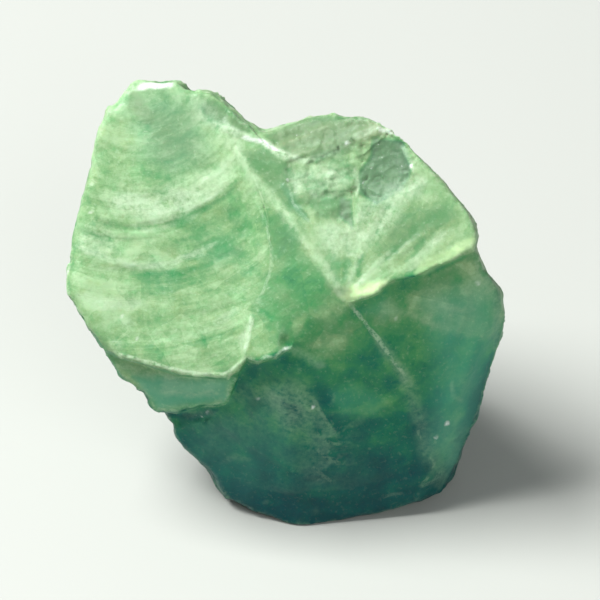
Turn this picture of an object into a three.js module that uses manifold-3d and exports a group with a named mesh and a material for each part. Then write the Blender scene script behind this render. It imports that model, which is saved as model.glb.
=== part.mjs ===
// A hand-sized chunk of rough fluorite, standing on one flat cleavage face. Units are
// millimetres, +Z is up, and the front of the chunk looks towards -Y.
//
// The chunk is one crystal, broken out of a vein. Its front is described in the face frame:
// u runs to the right, v runs up the slope of the front and w points out of it. The face
// frame leans back so that w rises above the horizon, and its origin is the foot, the lowest
// point at the front edge of the base.
//
// Making order: the blank is a convex hull trimmed to the ragged rim. Then fractures are cut
// from it: flat cleavage faces with boxes, and curved conchoidal scars with turned tools
// whose undersides are ringed by ribs about the point of the blow.

import * as THREE from "three";
import { ConvexGeometry } from "three/addons/geometries/ConvexGeometry.js";
import { mergeVertices } from "three/addons/utils/BufferGeometryUtils.js";
import Module from "manifold-3d";

const wasm = await Module();
wasm.setup();

// ---- Driving dimensions ----

const faceElevation = 40; // degrees that the front's outward direction w rises above the horizon
const heart = new THREE.Vector3(0, 13, 17); // middle of the chunk, where its back and sides are measured from
const reach = 45; // how far cutting tools run past the chunk
const snap = 0.004; // grid that the finished vertices are rounded to, which closes hairline slivers
const ribFoot = 0.4; // where each rib of a scar starts to rise, as a share of the way to its crest

// The ragged rim of the chunk as seen square on to the front, [u, v], clockwise from the peak.
const rim = [
  [-15.7, 43.6], [-15.1, 44.0], [-12.2, 44.1], [-10.8, 43.9], [-9.9, 43.2], [-7.8, 43.1],
  [-6.7, 42.4], [-4.3, 40.1], [-3.1, 39.6], [-2.4, 39.1], [-0.5, 39.7], [2.5, 40.5],
  [5.5, 40.5], [7.8, 40.7], [8.7, 40.3], [9.5, 39.6], [11.2, 38.7], [12.2, 37.5],
  [14.2, 35.3], [16.1, 33.0], [17.9, 30.9], [18.7, 28.7], [18.4, 27.8], [19.0, 26.2],
  [19.8, 24.8], [21.0, 23.4], [21.6, 20.7], [21.4, 19.1], [20.5, 16.5], [19.7, 14.4],
  [19.1, 12.5], [18.2, 10.1], [17.0, 6.5], [16.3, 4.9], [15.3, 3.2], [13.3, 2.4],
  [6.0, 0.6], [2.0, 0.0], [0.3, 0.0], [-3.5, 1.6], [-6.2, 3.1], [-7.4, 5.1],
  [-9.0, 6.8], [-11.0, 8.5], [-11.4, 9.2], [-11.4, 10.1], [-12.1, 10.8], [-12.2, 11.7],
  [-13.2, 11.6], [-14.0, 12.9], [-14.1, 13.6], [-14.9, 13.7], [-15.4, 14.4], [-16.4, 14.8],
  [-18.0, 17.2], [-19.8, 19.9], [-20.8, 22.0], [-21.7, 23.0], [-22.0, 24.3], [-21.4, 27.5],
  [-21.5, 29.0], [-20.5, 32.5], [-19.5, 36.0], [-19.1, 38.5], [-18.5, 39.9], [-17.8, 41.3],
  [-17.1, 41.6], [-16.3, 42.8],
];

// ---- Frames and tools ----

// The frame at an origin whose third axis faces an azimuth, counted from -Y towards +X, and
// an elevation. Its first axis is level and its second leans up.
function frameFacing(azimuth, elevation, origin) {
  const a = THREE.MathUtils.degToRad(azimuth);
  const e = THREE.MathUtils.degToRad(elevation);
  const across = new THREE.Vector3(Math.cos(a), Math.sin(a), 0);
  const out = new THREE.Vector3(Math.sin(a) * Math.cos(e), -Math.cos(a) * Math.cos(e), Math.sin(e));
  const up = new THREE.Vector3().crossVectors(out, across);
  return new THREE.Matrix4().makeBasis(across, up, out).setPosition(origin);
}

const faceFrame = frameFacing(0, faceElevation, new THREE.Vector3());
const backFrame = frameFacing(180, 15, heart);
const leftFrame = frameFacing(-90, 0, heart);
const rightFrame = frameFacing(90, 0, heart);

// The frame whose origin is the first of three points and whose third axis is square to the
// plane through all of them, pointing outwards.
function frameOn(points) {
  const [a, b, c] = points.map((p) => new THREE.Vector3(...p));
  const normal = new THREE.Vector3().crossVectors(b.clone().sub(a), c.clone().sub(a)).normalize();
  if (normal.z < 0) normal.negate();
  const across = new THREE.Vector3(1, 0, 0).addScaledVector(normal, -normal.x).normalize();
  const up = new THREE.Vector3().crossVectors(normal, across);
  return new THREE.Matrix4().makeBasis(across, up, normal).setPosition(a);
}

function solidOf(geometry) {
  const bare = geometry.clone();
  bare.deleteAttribute("normal");
  bare.deleteAttribute("uv");
  const merged = mergeVertices(bare, 1e-4);
  return new wasm.Manifold(new wasm.Mesh({
    numProp: 3,
    vertProperties: merged.attributes.position.array,
    triVerts: new Uint32Array(merged.index.array),
  }));
}

// An outline in the face frame, carried square through the chunk.
function prism(outline) {
  const shape = new THREE.Shape(outline.map(([u, v]) => new THREE.Vector2(u, v)));
  const geometry = new THREE.ExtrudeGeometry(shape, { depth: 2 * reach, bevelEnabled: false });
  return solidOf(geometry.translate(0, 0, -reach).applyMatrix4(faceFrame));
}

// Everything in front of the plane through three points of the face frame.
function above(...points) {
  const size = 4 * reach;
  const geometry = new THREE.BoxGeometry(size, size, size).translate(0, 0, size / 2);
  return solidOf(geometry.applyMatrix4(frameOn(points)).applyMatrix4(faceFrame));
}

// A conchoidal scar tool. Its underside is a bowl turned about the point of the blow, the
// first of the three points that set its plane. The bowl lies below the plane by sag at the
// blow and comes back to it at the span. A rib of the given height rings it at each crest.
// Crests and the tool's own edge are shares of the span.
function scarTool({ points, span, sag, rib = 0.1, crests, edge = 1.45, sides = 40 }, frame) {
  const bowl = (r) => sag * (r * r - 1);
  const profile = [new THREE.Vector2(0, bowl(0))];
  let last = 0;
  for (const crest of crests) {
    const foot = last + (crest - last) * ribFoot;
    profile.push(new THREE.Vector2(foot * span, bowl(foot)));
    profile.push(new THREE.Vector2(crest * span, bowl(crest) + rib));
    last = crest;
  }
  profile.push(new THREE.Vector2(span, bowl(1)));
  profile.push(new THREE.Vector2(edge * span, bowl(edge)));
  profile.push(new THREE.Vector2(edge * span, reach));
  profile.push(new THREE.Vector2(0, reach));
  const geometry = new THREE.LatheGeometry(profile, sides).rotateX(Math.PI / 2);
  return solidOf(geometry.applyMatrix4(frameOn(points)).applyMatrix4(frame));
}

// ---- The blank ----

// Corners of the hull in the face frame, [u, v, w]: a ring just behind the rim, and points
// in front of every scar, so that the scars alone shape the front.
const rimCorners = [
  [-16.6, 44.6, 6.8], [-7.5, 44.0, 7.0], [2.5, 41.2, 8.2], [9.0, 41.2, 10.0], [13.0, 38.2, 11.5],
  [17.0, 33.5, 12.5], [19.6, 28.8, 13.0], [22.4, 21.0, 5.0], [21.4, 16.5, 2.5], [19.2, 8.5, -1.5],
  [-3.6, 1.1, -0.6], [-6.8, 2.6, -1.6], [-11.8, 8.0, 0.5], [-13.8, 11.0, 3.0],
  [-18.8, 16.6, 6.5], [-22.8, 24.0, 7.5], [-21.4, 33.0, 7.0], [-19.8, 39.4, 7.0],
];
const frontCorners = [
  [-19.0, 21.0, 12.5], [-15.0, 42.0, 12.0], [7.0, 40.0, 16.0], [18.0, 29.0, 19.0],
  [21.0, 20.0, 13.0], [3.0, 20.0, 17.0], [2.0, -1.0, 2.0], [17.2, 4.5, 3.0],
  [20.4, 13.0, 8.0], [-9.0, 6.0, 5.0],
];

// Corners in the chunk's own axes, [x, y, z] from the foot: the base and the back.
const baseCorners = [
  [2, -1.2, 0], [11, 2.2, 0], [15.4, 4.8, 0], [16, 9.5, 0], [13, 16.5, 0], [5, 20.5, 0],
  [-6, 19, 0], [-7, 12.5, 0], [-4.8, 6.5, 0], [-3.2, 2.8, 0],
];
const backCorners = [[0, 27, 14], [-9, 25.5, 20], [10, 24.5, 19], [-4, 26, 29.5], [8, 24, 30]];

function blank() {
  const corners = [
    ...[...rimCorners, ...frontCorners].map((p) => new THREE.Vector3(...p).applyMatrix4(faceFrame)),
    ...[...baseCorners, ...backCorners].map((p) => new THREE.Vector3(...p)),
  ];
  const ground = new THREE.BoxGeometry(4 * reach, 4 * reach, reach).translate(0, 0, -reach / 2);
  return solidOf(new ConvexGeometry(corners)).intersect(prism(rim)).subtract(solidOf(ground));
}

// ---- The upper front ----

// The straight crease between the centre and the right facet runs from the point of the
// ledge up to the saddle in the top edge.
const ledgePoint = [5.5, 22.5, 14.8];
const saddle = [-4.8, 37.5, 10.8];

// The region of both facets, which reaches a little way under the left shell's right rim.
const facetRegion = [
  [-6.0, 8], [-6.0, 16.5], [-5.3, 19.6], [-4.8, 21.6], [-3.9, 23.5], [-3.2, 25.6], [-2.9, 28],
  [-3.2, 30.8], [-4, 33], [-5.2, 35.6], [-6.4, 37.4], [-7, 39], [-7, 50], [26, 50], [26, 8],
];

function facets() {
  const centre = above(ledgePoint, saddle, [-4.3, 16.7, 11.9]);
  const right = above(ledgePoint, saddle, [18.5, 28.0, 15.8]);
  return centre.add(right).intersect(prism(facetRegion));
}

// The big conchoidal scar on the left, struck from the top edge. Its region ends at the
// scar's right rim and runs out past the chunk everywhere else.
const leftShellRegion = [
  [-26, 50], [-26, 8], [-4.5, 8], [-4.6, 16.5], [-4.4, 17.5], [-4, 19.5], [-3.5, 21.2],
  [-2.7, 22.9], [-2, 25.3], [-1.7, 28], [-2, 31], [-2.8, 33.5], [-4, 36], [-5.2, 37.7],
  [-5.8, 39], [-5.5, 42.5], [-5, 50],
];

function leftShell() {
  const scar = scarTool({
    points: [[-11.3, 46.5, 9.4], [-6, 15.2, 11.2], [-2.3, 29, 11.0]],
    span: 31,
    sag: 0.9,
    rib: 0.22,
    crests: [0.34, 0.43, 0.5, 0.59, 0.67, 0.79, 0.87, 0.95],
    sides: 60,
  }, faceFrame);
  return scar.intersect(prism(leftShellRegion));
}

// The cap leans back from the ridge at the top right.
const cap = {
  points: [[2.9, 42.6, 8.7], [0.2, 36.3, 11.7], [8.0, 38.9, 12.3]],
  span: 6.6, sag: 0.25, rib: 0.06, crests: [0.55, 0.8], edge: 1.1, sides: 36,
};

// Under the cap the right facet is chipped. Each chip has a flat floor through three points.
const chips = [
  // The rough patch below the ridge, in two levels.
  {
    region: [
      [-0.5, 35.3], [1.2, 36.6], [3.6, 36.6], [3.4, 34.0], [2.4, 32.2], [0.7, 33.4], [-0.2, 34.3],
    ],
    floor: [[-0.5, 35.3, 11.4], [3.4, 36.2, 11.6], [1.2, 32.8, 12.3]],
  },
  {
    region: [
      [3.0, 36.5], [5.0, 37.6], [6.4, 38.8], [7.4, 37.9], [7.4, 35.0], [7.1, 32.6], [5.7, 32.3],
      [3.6, 31.9], [2.0, 32.4],
    ],
    floor: [[3.0, 34.0, 12.2], [7.2, 37.5, 11.9], [6.5, 32.5, 13.1]],
  },
  // The three-cornered chip with a sharp wall on its right.
  {
    region: [
      [2.0, 32.6], [3.2, 33.2], [6.5, 33.3], [6.6, 31.2], [6.4, 29.2], [5.2, 30.0], [4.2, 31.0],
      [2.6, 31.7],
    ],
    floor: [[2.0, 32.2, 12.4], [6.4, 33.4, 11.9], [6.4, 29.2, 13.6]],
  },
  // The deep hollow near the right corner.
  {
    region: [
      [7.0, 36.2], [8.4, 37.7], [9.7, 39.0], [10.9, 38.4], [11.6, 37.2], [12.0, 35.7], [12.2, 34.9],
      [11.2, 33.6], [9.8, 32.8], [7.8, 32.5], [6.9, 34.2],
    ],
    floor: [[7.2, 35.0, 12.1], [12.0, 35.7, 13.1], [9.7, 38.9, 12.1]],
  },
];

function chipAway({ region, floor }) {
  return above(...floor).intersect(prism(region));
}

// ---- The lower front ----

// The narrow ledge under the left shell's lower rim.
const smallLedgeRegion = [
  [-26, 19.5], [-19.0, 17.5], [-17.7, 17.2], [-16.3, 16.8], [-14.8, 16.4], [-13.3, 15.9],
  [-12.0, 15.6], [-10.8, 15.2], [-9.3, 15.0], [-7.3, 14.9], [-6.0, 15.0], [-5.2, 15.4],
  [-4.6, 14.5], [-4.6, 6], [-26, 6],
];

function smallLedge() {
  const floor = above([-6, 14.5, 9.3], [-14.3, 13.7, 5.5], [-9, 12, 6.3]);
  return floor.intersect(prism(smallLedgeRegion));
}

// The steep faces below the small ledge, the zigzag crest and the long ledge.
const lowerRegion = [
  [-26, 11.9], [-13.2, 11.7], [-12.0, 11.5], [-10.8, 11.5], [-8.8, 12.0], [-6.3, 12.3],
  [-5.5, 13.7], [-5.2, 15.0], [-4.5, 16.0], [-4.1, 16.8], [-3.6, 16.5], [-3.0, 16.4],
  [-2.0, 16.7], [-1.0, 16.9], [-0.4, 17.5], [0.3, 17.6], [0.8, 19.1], [1.6, 20.0],
  [2.8, 21.2], [4.0, 21.7], [5.7, 22.3], [7.2, 22.5], [8.4, 22.9], [9.4, 23.5],
  [10.0, 24.2], [11.2, 24.5], [12.5, 24.7], [13.7, 25.3], [15.2, 26.0], [16.7, 26.7],
  [18.0, 27.3], [18.7, 27.8], [26, 29], [26, -6], [-26, -6],
];

function lowerFront() {
  const left = above([1, 0, 0.4], [0.2, 17.9, 12.6], [-9, 8, 2.6]);
  const right = above([2, 0, 0.3], [5.5, 22.2, 13.9], [18.5, 27.3, 15.0]);
  const side = above([18.9, 18.5, 9.6], [15.2, 8.5, 3.6], [19.8, 15.3, 5.5]);
  const dish = scarTool({
    points: [[-14.5, 10.5, 2.7], [0.5, 15.0, 10.7], [0, 0, 0.4]],
    span: 17,
    sag: 0.9,
    crests: [0.32, 0.45, 0.58, 0.75, 0.9],
    sides: 48,
  }, faceFrame);
  return left.add(right).add(side).add(dish).intersect(prism(lowerRegion));
}

// ---- The back and the sides ----

const backScars = [
  {
    points: [[-12.5, 21.0, 8.2], [-16, 0, 4.1], [-4, 4, 13.6]],
    span: 20, sag: 1.5, crests: [0.3, 0.5, 0.62, 0.8, 0.92],
  },
  {
    points: [[18.5, 18.5, 14.8], [11, -1, 9.0], [2, 6, 14.8]],
    span: 20, sag: 0.9, crests: [0.35, 0.5, 0.7, 0.88],
  },
  {
    points: [[-3.0, -18.0, 4.6], [-9, -3, 11.0], [6, -3, 11.8]],
    span: 16, sag: 0.7, crests: [0.4, 0.55, 0.75, 0.9],
  },
];
const leftScars = [
  {
    points: [[7.0, 9.0, 26.0], [-8, 3, 12.5], [3, -9, 12.2]],
    span: 18, sag: 0.6, crests: [0.35, 0.5, 0.72, 0.9],
  },
];
const rightScars = [
  {
    points: [[-6, 5, 24.2], [9, -3, 11.4], [7, 12, 11.4]],
    span: 16, sag: 1.1, crests: [0.35, 0.55, 0.7, 0.88],
  },
  {
    points: [[-3, -18, 17.0], [-6.6, -3, 21.2], [6, -8, 13.0]],
    span: 13, sag: 0.5, crests: [0.4, 0.6, 0.85], edge: 1.25,
  },
];

// ---- Assembly ----

const scarGroups = [
  [[cap], faceFrame],
  [backScars, backFrame],
  [leftScars, leftFrame],
  [rightScars, rightFrame],
];

function chunkSolid() {
  let solid = blank();
  const cuts = [facets(), leftShell(), ...chips.map(chipAway), smallLedge(), lowerFront()];
  for (const cut of cuts) solid = solid.subtract(cut);
  for (const [scars, frame] of scarGroups) {
    for (const scar of scars) solid = solid.subtract(scarTool(scar, frame));
  }
  return solid;
}

// The solid as a geometry, with its origin under the middle of its bounding box.
function geometryOf(solid) {
  const mesh = solid.getMesh();
  const whole = new THREE.BufferGeometry();
  whole.setAttribute("position", new THREE.BufferAttribute(mesh.vertProperties, 3));
  whole.setIndex(new THREE.BufferAttribute(mesh.triVerts, 1));
  whole.computeBoundingBox();
  const { min, max } = whole.boundingBox;
  whole.translate(-(min.x + max.x) / 2, -(min.y + max.y) / 2, -min.z);
  const { array } = whole.attributes.position;
  for (let i = 0; i < array.length; i += 1) array[i] = Math.round(array[i] / snap) * snap;

  const merged = mergeVertices(whole, snap / 2);
  const triangles = [];
  for (let i = 0; i < merged.index.count; i += 3) {
    const [a, b, c] = [0, 1, 2].map((k) => merged.index.getX(i + k));
    if (a !== b && b !== c && c !== a) triangles.push(a, b, c);
  }
  merged.setIndex(triangles);
  merged.computeVertexNormals();
  return merged;
}

const fluorite = new THREE.MeshStandardMaterial({ color: 0x86b57f, roughness: 0.35, metalness: 0 });
const chunk = new THREE.Mesh(geometryOf(chunkSolid()), fluorite);
chunk.name = "fluorite_chunk";

const group = new THREE.Group();
group.add(chunk);

export default group;
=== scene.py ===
import math

import bpy
import bmesh
import numpy as np
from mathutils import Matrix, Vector, noise


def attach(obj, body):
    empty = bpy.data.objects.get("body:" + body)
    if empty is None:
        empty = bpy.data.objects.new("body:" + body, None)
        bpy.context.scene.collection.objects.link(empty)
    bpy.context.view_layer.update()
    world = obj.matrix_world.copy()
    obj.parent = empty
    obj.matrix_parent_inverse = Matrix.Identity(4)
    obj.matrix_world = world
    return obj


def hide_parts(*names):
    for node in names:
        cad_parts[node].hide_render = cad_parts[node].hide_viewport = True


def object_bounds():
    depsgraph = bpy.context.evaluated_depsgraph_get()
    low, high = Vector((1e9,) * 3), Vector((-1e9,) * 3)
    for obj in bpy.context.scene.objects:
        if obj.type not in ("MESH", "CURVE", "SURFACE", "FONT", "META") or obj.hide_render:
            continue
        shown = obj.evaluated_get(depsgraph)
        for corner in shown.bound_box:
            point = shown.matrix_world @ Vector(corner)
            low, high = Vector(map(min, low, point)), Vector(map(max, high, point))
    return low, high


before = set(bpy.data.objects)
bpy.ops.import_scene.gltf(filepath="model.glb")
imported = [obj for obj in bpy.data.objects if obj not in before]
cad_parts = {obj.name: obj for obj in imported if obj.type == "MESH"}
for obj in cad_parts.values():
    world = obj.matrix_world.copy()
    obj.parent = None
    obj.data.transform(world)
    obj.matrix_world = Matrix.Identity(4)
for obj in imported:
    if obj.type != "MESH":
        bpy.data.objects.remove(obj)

mm = 0.001
cadLow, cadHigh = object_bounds()
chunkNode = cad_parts["fluorite_chunk"]

# The front is described in the face frame, in millimetres: u runs right, v up the slope of the
# front and w out of it. Its origin is the foot, where the front edge meets the ground.
face = {
    "elevation": math.radians(40),
    "leftReach": 22.0,    # from the foot out to the leftmost tip
    "middle": (1.2, 22.5),  # centre of the view
    "viewWidth": 60.0,
}


def faceAxes():
    e = face["elevation"]
    return np.array([
        [1, 0, 0],
        [0, math.sin(e), math.cos(e)],
        [0, -math.cos(e), math.sin(e)],
    ])


def footPlace():
    points = np.array([v.co for v in chunkNode.data.vertices]) / mm
    slope = points @ faceAxes()[1]
    across = cadLow.x / mm + face["leftReach"]
    return np.array([across, slope.min() / math.sin(face["elevation"]), 0])


axes, foot = faceAxes(), footPlace()


# Nodes and their maths, for geometry and shader trees alike.
class Plug:
    def __init__(self, graph, socket):
        self.graph, self.socket = graph, socket

    def maths(self, operation, *values, clamp=False):
        return self.graph.add("ShaderNodeMath", {"operation": operation, "use_clamp": clamp}, values)

    def __add__(self, other):
        return self.maths("ADD", self, other)

    def __radd__(self, other):
        return self.maths("ADD", other, self)

    def __sub__(self, other):
        return self.maths("SUBTRACT", self, other)

    def __rsub__(self, other):
        return self.maths("SUBTRACT", other, self)

    def __mul__(self, other):
        return self.maths("MULTIPLY", self, other)

    def __rmul__(self, other):
        return self.maths("MULTIPLY", other, self)

    def __truediv__(self, other):
        return self.maths("DIVIDE", self, other)

    def __rtruediv__(self, other):
        return self.maths("DIVIDE", other, self)

    def clip(self):
        return self.maths("ADD", self, 0, clamp=True)

    def ramp(self, low, high):
        # 0 below low, 1 above high, and smooth between
        return self.graph.add("ShaderNodeMapRange", {"interpolation_type": "SMOOTHSTEP"},
                              {"Value": self, "From Min": low, "From Max": high})


class Graph:
    def __init__(self, tree):
        self.tree = tree

    def add(self, kind, settings=None, inputs=(), output=0):
        node = self.tree.nodes.new(kind)
        for name, value in (settings or {}).items():
            if name == "stops":
                self.setStops(node.color_ramp, value)
            else:
                setattr(node, name, value)
        pairs = inputs.items() if isinstance(inputs, dict) else enumerate(inputs)
        for key, value in pairs:
            if isinstance(value, Plug):
                self.tree.links.new(value.socket, node.inputs[key])
            else:
                node.inputs[key].default_value = value
        return Plug(self, node.outputs[output])

    def setStops(self, ramp, stops):
        while len(ramp.elements) < len(stops):
            ramp.elements.new(0.5)
        for element, (place, tone) in zip(ramp.elements, stops):
            element.position = place
            element.color = tone

    def mixColour(self, factor, first, second, blend="MIX"):
        return self.add("ShaderNodeMix", {"data_type": "RGBA", "blend_type": blend},
                        {0: factor, 6: first, 7: second}, output=2)

    def maximum(self, first, second):
        return self.add("ShaderNodeMath", {"operation": "MAXIMUM"}, [first, second])

    def vectors(self, operation, *values, scale=None, output=0):
        inputs = dict(enumerate(values))
        if scale is not None:
            inputs["Scale"] = scale
        return self.add("ShaderNodeVectorMath", {"operation": operation}, inputs, output)

    def part(self, vector, index):
        return self.add("ShaderNodeSeparateXYZ", {}, [vector], index)

    def noise(self, place, scale, detail=4, rough=0.55):
        return self.add("ShaderNodeTexNoise", {}, {
            "Vector": place, "Scale": scale, "Detail": detail, "Roughness": rough})

    def noiseColour(self, place, scale):
        # a small random vector about zero at each place
        self.noise(place, scale)
        made = self.tree.nodes[-1].outputs["Color"]
        return self.vectors("SUBTRACT", Plug(self, made), (0.5, 0.5, 0.5))

    def plates(self, place, shift, size):
        # flat tilted plates that meet in sharp steps, about -0.5 to 0.5
        spread = self.vectors("ADD", self.vectors("SCALE", place, scale=1 / size), shift)
        cells = self.add("ShaderNodeTexVoronoi", {}, {"Vector": spread, "Scale": 1.0}, "Position")
        lean = Plug(self, cells.socket.node.outputs["Color"])
        lean = self.vectors("SUBTRACT", lean, (0.5, 0.5, 0.5))
        away = self.vectors("SUBTRACT", spread, cells)
        return self.vectors("DOT_PRODUCT", away, lean, output="Value")


def smooth(low, high, x):
    t = np.clip((x - low) / (high - low), 0, 1)
    return t * t * (3 - 2 * t)


# Masks over the face frame, from 0 to 1. Each takes its points, its size and the places to fill.
def toPath(points, uv):
    # distance from each place to the path, the share of the way along it, and the side, 1 on the left
    path = np.array(points, float)
    lengths = np.linalg.norm(np.diff(path, axis=0), axis=1)
    best = np.full(len(uv), 1e9)
    share, side = np.zeros(len(uv)), np.zeros(len(uv))
    done = 0.0
    for a, b, length in zip(path[:-1], path[1:], lengths):
        away, way = uv - a, b - a
        t = np.clip(away @ way / length ** 2, 0, 1)
        gap = np.linalg.norm(away - t[:, None] * way, axis=1)
        near = gap < best
        best[near] = gap[near]
        share[near] = (done + t[near] * length) / lengths.sum()
        side[near] = np.sign(way[0] * away[near, 1] - way[1] * away[near, 0])
        done += length
    return best, share, side


def stroke(points, width, uv):
    # full on the path, fading out over the width, thinner towards both ends
    gap, share, _ = toPath(points, uv)
    taper = np.clip(np.minimum(share, 1 - share) * 5 + 0.4, 0, 1)
    return 1 - smooth(0.2, 1, gap / (width * taper))


def fade(points, width, uv):
    # sharp along the path, fading out on its left and nothing on its right
    gap, share, side = toPath(points, uv)
    taper = np.clip(np.minimum(share, 1 - share) * 4, 0, 1)
    return smooth(-0.1, 0.1, side * gap) * np.exp(-2 * gap / width) * taper


def patch(points, soft, uv):
    # full inside the outline, fading across its edge
    ring = np.array(points, float)
    inside = np.zeros(len(uv), bool)
    for a, b in zip(ring, np.roll(ring, -1, axis=0)):
        rise = b[1] - a[1] if b[1] != a[1] else 1e-9
        crosses = (a[1] > uv[:, 1]) != (b[1] > uv[:, 1])
        inside ^= crosses & (uv[:, 0] < a[0] + (uv[:, 1] - a[1]) / rise * (b[0] - a[0]))
    gap, _, _ = toPath(np.vstack([ring, ring[:1]]), uv)
    return smooth(-soft, soft, np.where(inside, gap, -gap))


def spot(centre, radius, uv):
    return 1 - smooth(0.2, 1, np.linalg.norm(uv - np.array(centre), axis=1) / radius)


def wobble(points, size, seed):
    # clouds of the size, about -1 to 1
    shift = Vector((seed * 17.3, seed * 5.1, seed * 9.7))
    return np.array([noise.fractal(Vector(p) / size + shift, 1.0, 2.0, 3) for p in points])


def uneven(values, points):
    size, strength, seed = values
    return strength * wobble(points, size, seed)


def polar(centre, uv):
    step = uv - np.array(centre)
    return np.linalg.norm(step, axis=1), np.arctan2(step[:, 1], step[:, 0])


def streaks(centre, uv, around, outward, seed):
    # fibres about a centre: more waves outward make rings, more waves around make rays
    radius, angle = polar(centre, uv)
    return np.array([noise.noise(Vector((r * outward, a * around, seed)))
                     for r, a in zip(radius, angle)])


stone = {
    "voxel": 0.256,         # mesh size
    "softening": 2,         # smoothing passes over the whole stone
    "shellSoftening": 45,   # passes over the big left scar, before its own ripples go on
    "relief": 0.5,          # height above the base over which the relief comes in
    # size, height and seed of the broad and the fine unevenness, and of what the sides have more of
    "swell": (9.0, 0.22, 1),
    "pucker": (2.2, 0.05, 2),
    "sideSwell": (3.4, 0.16, 91),
    "sideRough": (7, 0.6, 31),      # size, strength and seed of the rough patches of the sides
    "reliefPasses": 5,      # smoothing passes to the level that raised places are told from
    "facingPasses": 12,     # and to the slope that tells the front from the sides
}

regions = {
    "shell": [(-17, 42.3), (-11, 43.6), (-8, 42.2), (-5.6, 39), (-4, 36), (-2.8, 33.2), (-2.1, 30.5),
        (-1.9, 28), (-2.3, 25.2), (-3.2, 22.8), (-4.1, 20), (-4.6, 17.5), (-5.4, 15.8), (-7.3, 15.2),
        (-11.5, 15.7), (-16.3, 17.1), (-18.3, 17.9), (-21.5, 23.5), (-21.2, 29), (-19.4, 36)],
    "fan": [(5.2, 22.6), (-3.8, 37), (-1.5, 38), (1.5, 36.2), (4.5, 37.2), (7, 39), (11, 38.5),
        (15, 34), (18.6, 29), (18.4, 27.2), (13.7, 25.7), (10, 24.4), (8.2, 23.2)],
    "rough": [(-2.6, 38.6), (2.5, 41), (9, 41), (13, 37), (12.4, 34), (9.8, 32.3), (7, 32.2),
        (6.2, 29.2), (3.5, 31), (1.2, 31.6), (-0.5, 33.8), (0, 36.4)],
    "lower": [(-13.5, 11.3), (-8.8, 12), (-6.1, 12.4), (-5.2, 15), (-4, 16.6), (-0.3, 17.5),
        (0.4, 19.4), (2, 21.2), (5.6, 22.2), (8.4, 22.9), (10.2, 24.2), (18.7, 27.4), (24, 24),
        (24, 16), (17, 1), (2, -3), (-8, 2), (-14, 9)],
    "notch": [(-13, 11.7), (-7.4, 12.2), (-6.6, 10.6), (-10.6, 9.6), (-12.6, 9.8)],
    "ledge": [(5.2, 22.5), (6.6, 24.3), (10.2, 24.8), (9.8, 23.8), (7.4, 22.7)],
    "smallLedge": [(-17.8, 16.9), (-12, 15.4), (-7.3, 14.7), (-5.7, 14.8), (-5.4, 13.4), (-6.2, 12.3),
        (-9, 12), (-13.5, 11.4), (-16, 14)],
    "centre": [(-3.8, 21), (-2.3, 25), (-1.9, 28), (-2.1, 30.6), (-0.8, 31.6), (1.4, 28.6), (4.6, 24),
        (5.2, 22.3), (1.8, 21), (0.4, 19.2), (-0.6, 17.4), (-4, 16.7), (-3.6, 19)],
}


def region(name, soft, uv):
    return patch(regions[name], soft, uv)


shellRipples = {
    "blow": (-14.3, 45.0),
    "warp": 0.9,
    "seed": 3,
    # radius, height, width on the inner and on the outer side
    "ribs": [(10.8, 0.05, 1.2, 0.8), (14.2, 0.3, 2.2, 0.6), (16.0, 0.09, 0.7, 0.45),
        (17.6, 0.06, 0.6, 0.45), (19.1, 0.15, 1.1, 0.5), (21.4, 0.06, 0.8, 0.6), (23.7, 0.08, 1.0, 0.6),
        (25.4, 0.06, 0.7, 0.5), (27.4, 0.08, 1.0, 0.6)],
}

lowerRipples = {
    "blow": (5.6, 23.0),
    "warp": 0.7,
    "seed": 7,
    "ribs": [(5.5, 0.08, 0.9, 0.6), (8.2, 0.18, 1.6, 0.6), (11.6, 0.26, 1.8, 0.5),
        (14.6, 0.2, 1.4, 0.6), (17.4, 0.2, 1.4, 0.6), (19.8, 0.14, 1.2, 0.6)],
}

# Scars round the sides and the back, each rippled about the place where it was struck.
otherScars = {
    "blows": [(6, 15, 41), (-17, 12, 36), (22, 8, 24), (-21, -4, 30), (12, 14, 3), (-10, 15, 8),
        (20, -6, 6), (-14, -6, 4)],
    "pitch": 3.3,
    "height": 0.4,
    "warp": 0.9,
    "fade": 26.0,
    "seed": 71,
}

# Stairs left where the stone split flat: the direction across each set and its spacing.
cleavage = {
    "sets": [((1, 0.4, 1), 1.9), ((-1, 0.5, 0.9), 2.4), ((0.3, -1, 0.8), 1.6)],
    "height": 0.2,
    "warp": 1.3,
    "patch": 7.0,
    "seed": 81,
}

hackles = {
    "hub": (5.4, 22.4),
    "height": 0.075,
    "waves": (9, 23),                 # about the hub, broad and fine
    "reach": (0.6, 3.0, 9.0, 14.0),   # comes in over the first two, goes out over the last two
    "pitch": 14.0,                    # fibres for each radian
    "seed": 2.5,
}

# Fine lines that follow each scar: along the rings, or straight out across the fan.
fibres = {
    "longest": 80.0,    # the greatest distance from a blow
    "waves": 1.3,       # across the lines, per millimetre
    "along": 0.09,      # and along them
    "front": 1.0, "fan": 0.38, "lower": 1.0, "around": 0.8,   # their strength
}

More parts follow.
